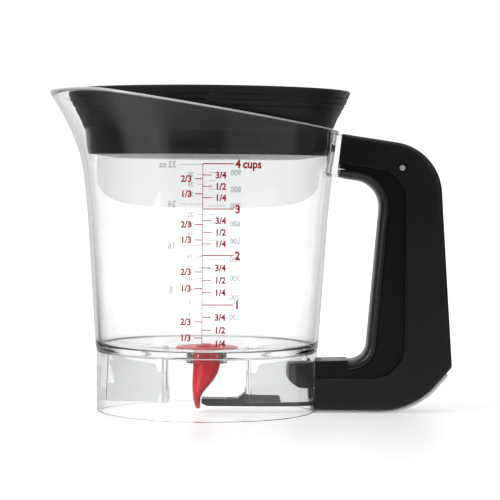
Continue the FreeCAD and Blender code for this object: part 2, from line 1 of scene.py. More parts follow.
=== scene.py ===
"""Looks of the gravy fat separator, built round its packed construction.

Metres, in the same frame as the construction: Z up from the table, X from the spout to
the handle, the camera in front at minus Y."""

import logging
import math
from dataclasses import dataclass
from enum import Enum
from typing import Callable, Iterable, Sequence

import bmesh
import bpy
from mathutils import Matrix, Vector


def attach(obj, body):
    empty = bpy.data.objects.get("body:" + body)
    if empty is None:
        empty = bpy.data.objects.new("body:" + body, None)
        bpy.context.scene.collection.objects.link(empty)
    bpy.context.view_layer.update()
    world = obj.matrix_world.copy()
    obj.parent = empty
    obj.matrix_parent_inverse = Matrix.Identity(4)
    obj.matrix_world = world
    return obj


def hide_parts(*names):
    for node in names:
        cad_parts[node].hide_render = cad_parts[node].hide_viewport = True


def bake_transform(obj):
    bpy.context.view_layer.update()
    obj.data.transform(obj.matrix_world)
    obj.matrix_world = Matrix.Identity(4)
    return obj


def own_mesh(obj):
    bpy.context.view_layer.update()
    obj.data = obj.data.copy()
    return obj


log = logging.getLogger("fat_separator")
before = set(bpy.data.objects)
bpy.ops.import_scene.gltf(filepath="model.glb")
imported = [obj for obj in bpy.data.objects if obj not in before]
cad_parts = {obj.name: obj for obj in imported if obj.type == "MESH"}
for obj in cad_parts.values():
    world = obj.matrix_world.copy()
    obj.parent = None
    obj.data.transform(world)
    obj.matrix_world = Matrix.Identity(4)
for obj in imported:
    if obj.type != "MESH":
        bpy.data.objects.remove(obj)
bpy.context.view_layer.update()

MM = 0.001
JUG_X = -21.55 * MM
AXIS = Vector((JUG_X, 0.0, 0.0))
FULL_TURN = 2.0 * math.pi
MERGE_DISTANCE = 1e-7
PATH_STEP = 1.2

# Height, outer radius and lean towards the spout of the jug's wall, in millimetres.
WALL_ROWS = (
    (0.0, 55.9, 0.0), (30.8, 56.2, 0.0), (33.0, 56.75, 0.0), (98.0, 61.0, 0.0), (108.0, 61.85, 0.0),
    (119.0, 63.0, 0.0), (127.0, 64.4, 0.0), (135.0, 66.1, 0.7), (143.0, 68.4, 2.0), (151.5, 71.2, 3.6),
    (161.5, 75.1, 6.0))

# Sockets of a Mix node that is set to colours.
MIX_FACTOR, MIX_FIRST, MIX_SECOND, MIX_RESULT = 0, 6, 7, 2


class Body(Enum):
    """Bodies of the construction that the pieces ride on."""

    JUG = "jug"
    TRIGGER = "trigger"
    SLIDER = "valve_slider"


class Slot(Enum):
    """Material slots of the record."""

    CLEAR = "clear_plastic"
    SHELL = "shell_plastic"
    GRIP = "grip_rubber"
    STEEL = "steel"
    RED = "red_silicone"


@dataclass(frozen=True)
class Finish:
    """One procedural finish on a Principled shader, with grain from noise.

    Every number that is the same all over the surface is set on the shader itself."""

    name: str
    dark: tuple[float, float, float]
    light: tuple[float, float, float]
    rough_low: float
    rough_high: float
    grain_scale: float = 900.0
    patch_scale: float = 45.0
    bump: float = 0.05
    bump_depth: float = 0.00006
    metallic: float = 0.0
    transmission: float = 0.0
    ior: float = 1.5
    coat: float = 0.0
    coat_roughness: float = 0.1
    subsurface: float = 0.0
    sheen: float = 0.0
    specular: float = 0.5
    stretch: tuple[float, float, float] = (1.0, 1.0, 1.0)

    def build(self) -> bpy.types.Material:
        """Make the material.

        Returns:
            The material, ready for a piece's slot.
        """
        material = bpy.data.materials.new(self.name)
        material.use_nodes = True
        nodes = material.node_tree.nodes
        links = material.node_tree.links
        shader = nodes["Principled BSDF"]
        shader.inputs["Metallic"].default_value = self.metallic
        shader.inputs["Transmission Weight"].default_value = self.transmission
        shader.inputs["IOR"].default_value = self.ior
        shader.inputs["Coat Weight"].default_value = self.coat
        shader.inputs["Coat Roughness"].default_value = self.coat_roughness
        shader.inputs["Subsurface Weight"].default_value = self.subsurface
        shader.inputs["Subsurface Scale"].default_value = 1.5 * MM
        shader.inputs["Sheen Weight"].default_value = self.sheen
        shader.inputs["Specular IOR Level"].default_value = self.specular
        place = nodes.new("ShaderNodeTexCoord")
        turn = nodes.new("ShaderNodeMapping")
        turn.inputs["Scale"].default_value = self.stretch
        patches = self._noise(nodes, self.patch_scale, 3.0)
        grain = self._noise(nodes, self.grain_scale, 2.0)
        tint = nodes.new("ShaderNodeValToRGB")
        tint.color_ramp.elements[0].position = 0.3
        tint.color_ramp.elements[0].color = (*self.dark, 1.0)
        tint.color_ramp.elements[1].position = 0.7
        tint.color_ramp.elements[1].color = (*self.light, 1.0)
        polish = nodes.new("ShaderNodeMapRange")
        polish.inputs["To Min"].default_value = self.rough_low
        polish.inputs["To Max"].default_value = self.rough_high
        relief = nodes.new("ShaderNodeBump")
        relief.inputs["Strength"].default_value = self.bump
        relief.inputs["Distance"].default_value = self.bump_depth
        links.new(place.outputs["Object"], turn.inputs["Vector"])
        for texture in (patches, grain):
            links.new(turn.outputs["Vector"], texture.inputs["Vector"])
        links.new(patches.outputs["Fac"], tint.inputs["Fac"])
        links.new(tint.outputs["Color"], shader.inputs["Base Color"])
        links.new(patches.outputs["Fac"], polish.inputs["Value"])
        links.new(polish.outputs["Result"], shader.inputs["Roughness"])
        links.new(grain.outputs["Fac"], relief.inputs["Height"])
        links.new(relief.outputs["Normal"], shader.inputs["Normal"])
        return material

    @staticmethod
    def _noise(nodes: bpy.types.Nodes, scale: float, detail: float) -> bpy.types.Node:
        """Add a noise texture.

        Args:
            nodes: The nodes to add to.
            scale: Its repeats per metre.
            detail: Its levels of detail.

        Returns:
            The texture node.
        """
        texture = nodes.new("ShaderNodeTexNoise")
        texture.inputs["Scale"].default_value = scale
        texture.inputs["Detail"].default_value = detail
        return texture


CLEAR = Finish("clear_jug_plastic", (0.968, 0.973, 0.975), (0.978, 0.982, 0.984), 0.0, 0.006,
               grain_scale=18.0, patch_scale=9.0, bump=0.01, bump_depth=0.00002, transmission=1.0, ior=1.52)
# The rim's finish is a painted highlight: near white and mostly opaque, in place of the bright line that
# light draws along the clear rim.
RIM_PAINTED_HIGHLIGHT = Finish("rim_painted_highlight", (0.96, 0.962, 0.965), (0.99, 0.991, 0.992), 0.1, 0.18, grain_scale=120.0,
             bump=0.03, transmission=0.12, ior=1.52, coat=0.5)
SHELL = Finish("satin_black_shell", (0.012, 0.012, 0.0123), (0.016, 0.016, 0.0163), 0.34, 0.44,
               grain_scale=2600.0, bump=0.12, specular=0.3)
SEAM = Finish("polished_seam", (0.012, 0.012, 0.0125), (0.018, 0.018, 0.0185), 0.12, 0.2, grain_scale=1500.0,
              bump=0.03, specular=0.9)
TRIGGER = Finish("satin_black_trigger", (0.006, 0.006, 0.0063), (0.009, 0.009, 0.0093), 0.36, 0.46,
                 grain_scale=2600.0, bump=0.12, specular=0.25)
GRIP = Finish("soft_black_grip", (0.010, 0.010, 0.0105), (0.015, 0.015, 0.0155), 0.27, 0.34,
              grain_scale=3400.0, bump=0.1, sheen=0.1, specular=0.7)
STEEL = Finish("plain_steel", (0.56, 0.56, 0.57), (0.7, 0.7, 0.71), 0.18, 0.34, grain_scale=1800.0,
               patch_scale=300.0, bump=0.06, metallic=1.0, stretch=(1.0, 0.1, 1.0))
# Steel of the pivot pin, lighter and partly diffuse: a painted highlight in place of the bright glint on the
# pin's end.
PIN_STEEL_PAINTED_HIGHLIGHT = Finish("pin_steel_painted_highlight", (0.86, 0.86, 0.87), (0.94, 0.94, 0.95), 0.4, 0.5,
                      grain_scale=1800.0, patch_scale=300.0, bump=0.05, metallic=0.7)
ARM = Finish("dark_grey_arm", (0.028, 0.028, 0.03), (0.042, 0.042, 0.044), 0.3, 0.42, grain_scale=2000.0)
RED = Finish("red_silicone", (0.74, 0.006, 0.022), (0.84, 0.010, 0.032), 0.26, 0.36, grain_scale=1500.0,
             patch_scale=90.0, subsurface=0.15, coat=0.15)
RED_INK = Finish("red_scale_ink", (0.58, 0.001, 0.018), (0.68, 0.003, 0.026), 0.4, 0.55, grain_scale=4000.0)
GREY_INK = Finish("grey_scale_ink", (0.70, 0.70, 0.71), (0.78, 0.78, 0.79), 0.45, 0.6, grain_scale=4000.0,
                  transmission=0.75, ior=1.1)
TABLE = Finish("pale_table", (0.95, 0.95, 0.952), (0.97, 0.97, 0.972), 0.3, 0.42, grain_scale=200.0,
               patch_scale=3.0, bump=0.01)


def shade(mesh: bpy.types.Mesh, sharp_deg: float) -> None:
    """Shade a mesh smooth, apart from edges that turn by more than an angle.

    Args:
        mesh: The mesh to shade.
        sharp_deg: The angle in degrees.
    """
    limit = math.radians(sharp_deg)
    bm = bmesh.new()
    bm.from_mesh(mesh)
    for face in bm.faces:
        face.smooth = True
    for edge in bm.edges:
        edge.smooth = len(edge.link_faces) == 2 and edge.calc_face_angle(0.0) < limit
    bm.to_mesh(mesh)
    bm.free()


def piece(bm: bmesh.types.BMesh, name: str, material: bpy.types.Material, sharp_deg: float = 32.0,
          mend: bool = True) -> bpy.types.Object:
    """Turn a bmesh into a finished object at the origin.

    Args:
        bm: The mesh, in metres in the shared frame. It is freed.
        name: Name of the piece.
        material: Its finish.
        sharp_deg: Edges that turn by more than this stay sharp.
        mend: Whether doubles are merged and faces turned outwards first.

    Returns:
        The object, linked to the scene.
    """
    if mend:
        bmesh.ops.remove_doubles(bm, verts=bm.verts, dist=MERGE_DISTANCE)
        bmesh.ops.recalc_face_normals(bm, faces=bm.faces)
    mesh = bpy.data.meshes.new(name)
    bm.to_mesh(mesh)
    bm.free()
    shade(mesh, sharp_deg)
    mesh.materials.append(material)
    made = bpy.data.objects.new(name, mesh)
    bpy.context.scene.collection.objects.link(made)
    return made


def dress(made: bpy.types.Object, body: Body, slot: Slot, *nodes: str) -> bpy.types.Object:
    """Let a piece ride on a body, hide the nodes that it stands for, and report it.

    Args:
        made: The finished piece.
        body: The body it moves with.
        slot: Not used.
        nodes: Nodes of the construction that it stands for.

    Returns:
        The same piece.
    """
    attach(made, body.value)
    if nodes:
        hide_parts(*nodes)
    log.info("made %s with %d faces", made.name, len(made.data.polygons))
    return made


def shared(x: float, y: float, z: float) -> Vector:
    """Place in the shared frame, in metres, of a place in millimetres from the jug's axis."""
    return Vector((JUG_X + x * MM, y * MM, z * MM))


def circle(count: int) -> list[tuple[float, float]]:
    """Cosine and sine of equally spaced angles right round."""
    return [(math.cos(FULL_TURN * i / count), math.sin(FULL_TURN * i / count)) for i in range(count)]


def between_rows(rows: Sequence[tuple[float, ...]], value: float) -> tuple[float, ...]:
    """Read a table between two of its rows.

    Args:
        rows: Rows that start with the value they stand for, in rising order.
        value: The value to read at.

    Returns:
        The rest of the row there, held at the first and last rows.
    """
    for low, high in zip(rows, rows[1:]):
        if value <= high[0]:
            share = max(0.0, (value - low[0]) / (high[0] - low[0]))
            return tuple(start + (end - start) * share for start, end in zip(low[1:], high[1:]))
    return rows[-1][1:]


def closed_loop(bm: bmesh.types.BMesh, points: Sequence[Vector]) -> list[bmesh.types.BMEdge]:
    """Draw a closed ring of edges.

    Args:
        bm: The mesh to draw in.
        points: The ring's points in order.

    Returns:
        The ring's edges.
    """
    verts = [bm.verts.new(point) for point in points]
    return [bm.edges.new((verts[i - 1], verts[i])) for i in range(len(verts))]


def turned(bm: bmesh.types.BMesh, outline: Sequence[tuple[float, float]], steps: int) -> None:
    """Spin a closed outline right round the jug's axis.

    Args:
        bm: The mesh to add to.
        outline: Radius and height of its points in order, in millimetres.
        steps: Number of steps in the turn.
    """
    edges = closed_loop(bm, [AXIS + Vector((radius * MM, 0.0, z * MM)) for radius, z in outline])
    verts = list(dict.fromkeys(vert for edge in edges for vert in edge.verts))
    bmesh.ops.spin(bm, geom=verts + edges, cent=AXIS, axis=(0, 0, 1), angle=FULL_TURN,
                   steps=steps, use_merge=True, use_duplicate=False)


def swept(bm: bmesh.types.BMesh, rings: Sequence[Sequence[Vector]], caps: bool = True) -> None:
    """Skin a row of rings by extruding the first one from ring to ring.

    Args:
        bm: The mesh to add to.
        rings: Rings of equally many points, in order along the piece.
        caps: Whether both ends are closed.
    """
    edges = closed_loop(bm, rings[0])
    verts = [edge.verts[1] for edge in edges]
    first = list(edges)
    for ring in rings[1:]:
        moved = bmesh.ops.extrude_edge_only(bm, edges=edges)["geom"]
        fresh = [item for item in moved if isinstance(item, bmesh.types.BMVert)]
        edges = [item for item in moved if isinstance(item, bmesh.types.BMEdge)
                 and all(vert in fresh for vert in item.verts)]
        follow = {}
        for vert in fresh:
            for edge in vert.link_edges:
                other = edge.other_vert(vert)
                if other not in fresh:
                    follow[other] = vert
        verts = [follow[vert] for vert in verts]
        for vert, point in zip(verts, ring):
            vert.co = point
    if caps:
        bmesh.ops.holes_fill(bm, edges=first + edges, sides=len(rings[0]))


def block(low: tuple[float, float, float], high: tuple[float, float, float], bevel: float = 0.0,
          name: str = "block") -> bpy.types.Object:
    """Box between two corners in jug millimetres, with rounded edges, as a loose object.

    Args:
        low: Lowest corner, X counted from the jug's axis.
        high: Highest corner.
        bevel: Edge rounding in millimetres.
        name: Name of the object.

    Returns:
        The object.
    """
    bm = bmesh.new()
    size = [high[i] - low[i] for i in range(3)]
    place = Matrix.Translation(shared(*[(high[i] + low[i]) / 2.0 for i in range(3)]))
    bmesh.ops.create_cube(bm, size=1.0, matrix=place @ Matrix.Diagonal((*[s * MM for s in size], 1.0)))
    if bevel > 0.0:
        bmesh.ops.bevel(bm, geom=list(bm.edges), offset=bevel * MM, offset_type="OFFSET", affect="EDGES",
                        segments=3, profile=0.5, material=-1)
    return loose(bm, name)


def loose(bm: bmesh.types.BMesh, name: str) -> bpy.types.Object:
    """Make a plain object, for joining to another piece.

    Args:
        bm: Its mesh, which is freed.
        name: Its name.

    Returns:
        The object, linked to the scene.
    """
    mesh = bpy.data.meshes.new(name)
    bmesh.ops.recalc_face_normals(bm, faces=bm.faces)
    bm.to_mesh(mesh)
    bm.free()
    made = bpy.data.objects.new(name, mesh)
    bpy.context.scene.collection.objects.link(made)
    return made


def combined(target: bpy.types.Object, others: Iterable[bpy.types.Object], operation: str) -> None:
    """Join or cut loose objects into a piece, one after another, and remove them.

    Args:
        target: The piece whose mesh changes.
        others: The objects to join or cut with.
        operation: UNION or DIFFERENCE.
    """
    for other in others:
        change = target.modifiers.new("combine", "BOOLEAN")
        change.operation = operation
        change.solver = "EXACT"
        change.object = other
        graph = bpy.context.evaluated_depsgraph_get()
        mesh = bpy.data.meshes.new_from_object(target.evaluated_get(graph))
        target.modifiers.clear()
        old = target.data
        target.data = mesh
        bpy.data.meshes.remove(old)
        bpy.data.objects.remove(other)


def bell(height: float) -> tuple[float, float]:
    """Outer radius of the jug's wall and its lean towards the spout at a height, in millimetres."""
    radius, lean = between_rows(WALL_ROWS, height)
    return radius, lean


def rounded_path(corners: Sequence[tuple[float, float, float]], step: float) -> list[tuple[Vector, Vector]]:
    """Points and headings along a path with rounded corners.

    Args:
        corners: X, Z and corner radius of each corner in jug millimetres.
        step: Greatest distance between points in millimetres.

    Returns:
        Pairs of a point and its unit heading, both as (x, z) vectors in millimetres.
    """
    runs: list[Vector] = [Vector(corners[0][:2])]
    for before, here, after in zip(corners, corners[1:], corners[2:]):
        corner = Vector(here[:2])
        back = (Vector(before[:2]) - corner).normalized()
        ahead = (Vector(after[:2]) - corner).normalized()
        half = back.angle(ahead) / 2.0
        reach = here[2] / math.tan(half)
        middle = corner + (back + ahead).normalized() * (here[2] / math.sin(half))
        first = corner + back * reach
        last = corner + ahead * reach
        sweep = (first - middle).angle_signed(last - middle)
        count = max(4, int(abs(sweep) * here[2] / step))
        for index in range(count + 1):
            angle = -sweep * index / count
            arm = first - middle
            runs.append(middle + Vector((arm.x * math.cos(angle) - arm.y * math.sin(angle),
                                         arm.x * math.sin(angle) + arm.y * math.cos(angle))))
    runs.append(Vector(corners[-1][:2]))
    spots: list[Vector] = []
    for start, end in zip(runs, runs[1:]):
        pieces = max(1, int((end - start).length / (2.0 * step)))
        spots.extend(start.lerp(end, index / pieces) for index in range(pieces))
    spots.append(runs[-1])
    return [(spot, (spots[min(i + 1, len(spots) - 1)] - spots[max(i - 1, 0)]).normalized())
            for i, spot in enumerate(spots)]


def carried(path: Sequence[tuple[Vector, Vector]],
            section: Sequence[tuple[float, float]]) -> list[list[Vector]]:
    """Carry a section along a path in the plane of the handle.

    Args:
        path: Points and headings, as rounded_path gives them.
        section: Distances outwards from the path and across, in millimetres.

    Returns:
        One ring for each point of the path, in the shared frame.
    """
    rings = []
    for spot, heading in path:
        out = Vector((-heading.y, heading.x))
        rings.append([shared(spot.x + out.x * u, v, spot.y + out.y * u) for u, v in section])
    return rings


def oval(x: float, z: float, half_x: float, half_y: float, count: int = 48) -> list[Vector]:
    """Level oval ring in the shared frame, from millimetres."""
    return [shared(x + half_x * cosine, half_y * sine, z) for cosine, sine in circle(count)]


@dataclass(frozen=True)
class BandedFinish(Finish):
    """Finish that turns glossy below a height, as a moulded band does under a matte rim."""

    glossy_below: float = 142.5 * MM
    blend_height: float = 1.2 * MM
    gloss: float = 0.1

    def build(self) -> bpy.types.Material:
        """Make the material.

        Returns:
            The material, with its roughness led by height.
        """
        material = super().build()
        nodes = material.node_tree.nodes
        links = material.node_tree.links
        shader = nodes["Principled BSDF"]
        matte = shader.inputs["Roughness"].links[0].from_socket
        place = nodes.new("ShaderNodeTexCoord")
        parts = nodes.new("ShaderNodeSeparateXYZ")
        height = nodes.new("ShaderNodeMapRange")
        height.inputs["From Min"].default_value = self.glossy_below - self.blend_height
        height.inputs["From Max"].default_value = self.glossy_below + self.blend_height
        chosen = nodes.new("ShaderNodeMix")
        chosen.inputs["A"].default_value = self.gloss
        links.new(place.outputs["Object"], parts.inputs["Vector"])
        links.new(parts.outputs["Z"], height.inputs["Value"])
        links.new(height.outputs["Result"], chosen.inputs["Factor"])
        links.new(matte, chosen.inputs["B"])
        links.new(chosen.outputs["Result"], shader.inputs["Roughness"])
        return material


STRAINER_BAND = BandedFinish("black_strainer_banded", (0.008, 0.008, 0.0083), (0.012, 0.012, 0.0123),
                             0.42, 0.52, grain_scale=2400.0, bump=0.015, specular=0.35)


@dataclass
class ConstructionFinishes:
    """Finishes for the pieces that show the construction itself."""

    nodes: dict[str, Finish]

    def build(self) -> None:
        """Give each named node its finish."""
        for name, finish in self.nodes.items():
            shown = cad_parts[name]
            shown.data.materials.clear()
            shown.data.materials.append(finish.build())
            log.info("finished %s as %s", name, finish.name)


@dataclass
class ClearJug:
    """Clear jug: wall, rim, raised floor, collar and skirt in one spun skin, with guides, pad and strip.

    Sizes are in millimetres, and places across are counted from the jug's axis."""

    steps: int = 168
    wall: float = 2.6
    step_height: float = 33.0
    step_radius: float = 56.75
    cone_top: float = 98.0
    cone_radius: float = 61.0
    mouth_rows: int = 26
    wall_top: float = 160.2
    rim_from: float = 160.5
    lip: float = 161.5
    slope_start: float = -55.0
    slope: float = 0.157
    slope_blend: float = 9.4
    rim_rounds: int = 12
    smooth_from: float = 94.0
    smooth_to: float = 160.5
    smooth_run: float = 8.0
    smooth_reach: float = 4.0
    smooth_inset: float = 0.03
    rib_place: float = 21.2
    rib_half: float = 1.15
    leg_half: float = 1.9
    leg_sides: tuple[float, float] = (6.2, 8.0)
    web_place: float = 12.0
    web_half: float = 0.6
    web_reach: float = 53.5
    web_top: float = 31.6
    web_slope: float = 0.075
    pad_half: float = 12.9
    foot_half: float = 9.0
    tongue: tuple[tuple[float, float, float], ...] = ((65.5, -7.0, 131.9), (84.4, 7.0, 134.3))
    screw_places: tuple[float, ...] = (73.0, 80.0)
    screw_radius: float = 1.55
    trigger_window: tuple[tuple[float, float, float], ...] = ((44.0, -11.1, 8.4), (60.0, 11.1, 27.2))
    arm_window: tuple[tuple[float, float, float], ...] = ((44.0, -6.0, 2.9), (60.0, 6.0, 6.8))
    window_rounding: float = 0.8
    strip_corners: tuple[tuple[float, float, float], ...] = (
        (54.3, 0.5, 0.0), (105.07, 0.5, 37.6), (121.8, 19.73, 0.0))

    def cone(self, radius: float, height: float) -> float:
        """Radius at a height of one side of the wall's cone, from its radius at the step."""
        growth = self.cone_radius - self.step_radius
        return radius + growth * (height - self.step_height) / (self.cone_top - self.step_height)

    def outline(self) -> list[tuple[float, float]]:
        """Closed outline of the wall before the mouth is shaped.

        Returns:
            Radius and height of each point in millimetres.
        """
        foot = [(54.62, 0.35), (54.75, 0.1), (55.0, 0.0), (55.5, 0.0), (55.78, 0.12), (55.9, 0.45),
                (55.91, 0.8), (55.92, 1.4)]
        skirt = [(56.05, 15.0), (56.19, 29.8), (56.2, 30.4)]
        step = [(56.21, 30.8), (56.4, 31.6), (56.68, 32.7), (56.78, 33.3), (56.82, 34.0), (56.86, 34.8)]
        cone = [(self.cone(self.step_radius, z), z) for z in (40.0, 52.0, 64.0, 76.0, 88.0, self.cone_top)]
        rise = self.wall_top - self.cone_top
        rows = [self.cone_top + rise * share / self.mouth_rows for share in range(1, self.mouth_rows + 1)]
        rim = [(0.03, 160.45), (0.13, 160.7), (0.32, 161.0), (0.6, 161.25), (0.93, 161.43),
               (self.wall / 2.0, self.lip)]
        rim += [(self.wall - inset, z) for inset, z in reversed(rim[:-1])]
        mouth = [(self.cone_radius, z) for z in rows]
        mouth += [(self.cone_radius - inset, z) for inset, z in rim]
        mouth += [(self.cone_radius - self.wall, z) for z in reversed(rows)]
        inner_cone = [(self.cone(self.step_radius - self.wall, z), z)
                      for z in (self.cone_top, 88.0, 76.0, 64.0, 52.0, 42.0, 36.4, 35.7)]
        floor_corner = [(54.2, 35.1), (54.0, 34.4), (53.5, 33.9), (52.7, 33.7), (52.0, 33.62)]
        floor_top = [(51.2, 33.55), (40.0, 32.64), (28.0, 31.66), (18.3, 30.87), (17.3, 30.8), (7.8, 30.8)]
        bore = [(7.4, 30.65), (7.3, 30.3), (7.3, 30.0), (7.3, 25.8), (7.3, 25.5), (7.55, 25.2)]
        collar = [(10.3, 25.2), (10.6, 25.5), (10.6, 25.8), (10.6, 27.3), (10.6, 27.6), (10.75, 27.95),
                  (11.1, 28.1)]
        floor_underside = [(17.3, 28.1), (18.3, 28.18), (35.0, 29.55), (51.6, 30.91), (52.3, 30.97)]
        skirt_inside = [(52.9, 31.0), (53.45, 30.85), (53.7, 30.4), (53.72, 29.9), (53.75, 29.2),
                        (54.15, 15.0), (54.57, 1.4), (54.6, 0.8)]
        return (foot + skirt + step + cone + mouth + inner_cone + floor_corner + floor_top + bore + collar
                + floor_underside + skirt_inside)

    def mouth(self, place: Vector) -> Vector:
        """Where a point of the plain upper wall belongs on the leaning, flared mouth.

        Args:
            place: The point on the plain wall.

        Returns:
            The shaped point.
        """
        inset = self.cone_radius - Vector(place.xy).length
        heading = Vector(place.xy).normalized()
        rim = self.lip
        for _ in range(self.rim_rounds):
            radius, lean = self.flare(rim)
            rim = self.rim_height(heading.x * radius - lean)
        stretch = (rim - self.cone_top) / (self.lip - self.cone_top)
        height = self.cone_top + (place.z - self.cone_top) * stretch
        radius, lean = self.flare(height)
        return Vector((heading.x * (radius - inset) - lean, heading.y * (radius - inset), height))

    def rim_height(self, x: float) -> float:
        """Height of the slanted rim, with a soft bend where its slope starts.

        Args:
            x: Place across.

        Returns:
            The height.
        """
        past = x - self.slope_start
        if past <= -self.slope_blend:
            return self.lip
        if past >= self.slope_blend:
            return self.lip - self.slope * past
        return self.lip - self.slope * (past + self.slope_blend) ** 2 / (4.0 * self.slope_blend)

    def flare(self, height: float) -> tuple[float, float]:
        """Radius and lean of the wall, smoothed between its rows.

        Args:
            height: The height to read at.

        Returns:
            Radius and lean.
        """
        share = max(0.0, min(1.0, (height - self.smooth_from) / self.smooth_run,
                             (self.smooth_to - height) / self.smooth_run))
        weights = {-1.0: 1.0, -0.5: 2.0, 0.0: 2.0, 0.5: 2.0, 1.0: 1.0}
        total = sum(weights.values())
        reach = self.smooth_reach * share
        spots = [(weight, *bell(height + reach * shift)) for shift, weight in weights.items()]
        return (sum(weight * radius for weight, radius, _ in spots) / total - self.smooth_inset * share,
                sum(weight * lean for weight, _, lean in spots) / total)

    def skin(self) -> bpy.types.Object:
        """Spin the outline, shape its mouth and mark the faces of its rim, which take a painted highlight.

        Returns:
            The plain skin, still without guides and windows.
        """
        bm = bmesh.new()
        turned(bm, self.outline(), self.steps)
        bmesh.ops.remove_doubles(bm, verts=bm.verts, dist=MERGE_DISTANCE)
        for face in bm.faces:
            # Faces above this height take the rim's painted highlight material.
            face.material_index = int(face.calc_center_median().z > self.rim_from * MM)
        for vert in bm.verts:
            if vert.co.z > (self.cone_top + 0.5) * MM:
                vert.co = AXIS + self.mouth((vert.co - AXIS) / MM) * MM
        made = loose(bm, "clear_jug")
        made.data.materials.append(CLEAR.build())
        made.data.materials.append(RIM_PAINTED_HIGHLIGHT.build())
        return made

    def inside_wall(self, y: float, z: float) -> float:
        """Place across of the middle of the wall's thickness, at a depth and a height."""
        radius, lean = self.flare(z)
        return math.sqrt((radius - self.wall / 2.0) ** 2 - y * y) - lean

    def rooted(self, heights: Sequence[float], half_width: float, face: Callable[[float], float],
               name: str) -> bpy.types.Object:
        """Block that is rooted in the wall and reaches out to a face.

        Args:
            heights: Heights of its levels.
            half_width: Half of its width.
            face: Place across of its outer face at a height.
            name: Name of the object.

        Returns:
            The loose block.
        """
        edge = [(-0.9, half_width), (-0.25, half_width - 0.25), (0.0, half_width - 0.9)]
        across = [half_width * share / 6.0 for share in range(-6, 7)]
        rings = []
        for z in heights:
            ring = [Vector((self.inside_wall(y, z), y, z)) for y in across]
            ring += [Vector((face(z) + x, y, z)) for x, y in edge]
            ring += [Vector((face(z) + x, -y, z)) for x, y in reversed(edge)]
            rings.append([AXIS + spot * MM for spot in ring])
        bm = bmesh.new()
        swept(bm, rings)
        return loose(bm, name)

    def strip(self) -> bpy.types.Object:
        """Strip that runs from the skirt under the handle and up its lower corner.

        Returns:
            The loose strip.
        """
        section = ((-0.5, -11.8), (-0.5, 11.8), (-0.3, 12.0), (0.3, 12.0), (0.5, 11.8), (0.5, -11.8),
                   (0.3, -12.0), (-0.3, -12.0))
        bm = bmesh.new()
        swept(bm, carried(rounded_path(self.strip_corners, 2.0), section))
        return loose(bm, "strip")

    def guides(self) -> list[bpy.types.Object]:
        """Ribs, legs and webs under the floor.

        Returns:
            The loose guides.
        """
        made = []
        for side in (-1.0, 1.0):
            middle = side * self.rib_place
            made.append(block((middle - self.rib_half, -self.web_place, 10.2),
                              (middle + self.rib_half, self.web_place, 29.3), 0.35, "rib"))
            for hand in (-1.0, 1.0):
                inner, outer = sorted(hand * reach for reach in self.leg_sides)
                made.append(block((middle - self.leg_half, inner, 5.0), (middle + self.leg_half, outer, 12.1),
                                  0.55, "leg"))
                made.append(self.web(side, hand))
        return made

    def web(self, side: float, hand: float) -> bpy.types.Object:
        """Web from a rib out to the skirt, with its top just inside the sloping floor.

        Args:
            side: -1 towards the spout, 1 towards the handle.
            hand: -1 in front, 1 behind.

        Returns:
            The loose web.
        """
        near, far = sorted((side * self.rib_place, side * self.web_reach))
        y = hand * self.web_place
        made = block((near, y - self.web_half, 6.0), (far, y + self.web_half, self.web_top), 0.25, "web")
        for vert in made.data.vertices:
            if vert.co.z > 20.0 * MM:
                reach = abs(vert.co.x - JUG_X) / MM
                top = 29.4 + (reach - self.rib_place) * self.web_slope
                vert.co.z = top * MM + (vert.co.z - self.web_top * MM)
        return made

    def build(self) -> bpy.types.Object:
        """Model the whole jug.

        Returns:
            The piece, riding on the jug's body.
        """
        jug = self.skin()
        pad = self.rooted((120.6, 121.0, 126.0, 131.0, 136.0, 140.0, 140.4), self.pad_half,
                          lambda z: 65.25 + 0.1133 * (z - 120.5), "pad")
        foot = self.rooted((118.8, 119.2, 121.3), self.foot_half, lambda z: 64.7, "foot")
        tongue = block(*self.tongue, 0.4, "tongue")
        holes = []
        for x in self.screw_places:
            bm = bmesh.new()
            radius = self.screw_radius * MM
            bmesh.ops.create_cone(bm, cap_ends=True, segments=24, radius1=radius, radius2=radius,
                                  depth=8 * MM, matrix=Matrix.Translation(shared(x, 0.0, 133.0)))
            holes.append(loose(bm, "hole"))
        combined(tongue, holes, "DIFFERENCE")
        combined(jug, [pad, foot, tongue, self.strip(), *self.guides()], "UNION")
        windows = [block(*self.trigger_window, self.window_rounding, "trigger_window"),
                   block(*self.arm_window, self.window_rounding, "arm_window")]
        combined(jug, windows, "DIFFERENCE")
        shade(jug.data, 30.0)
        jug.visible_shadow = False
        return dress(jug, Body.JUG, Slot.CLEAR, "jug_body")


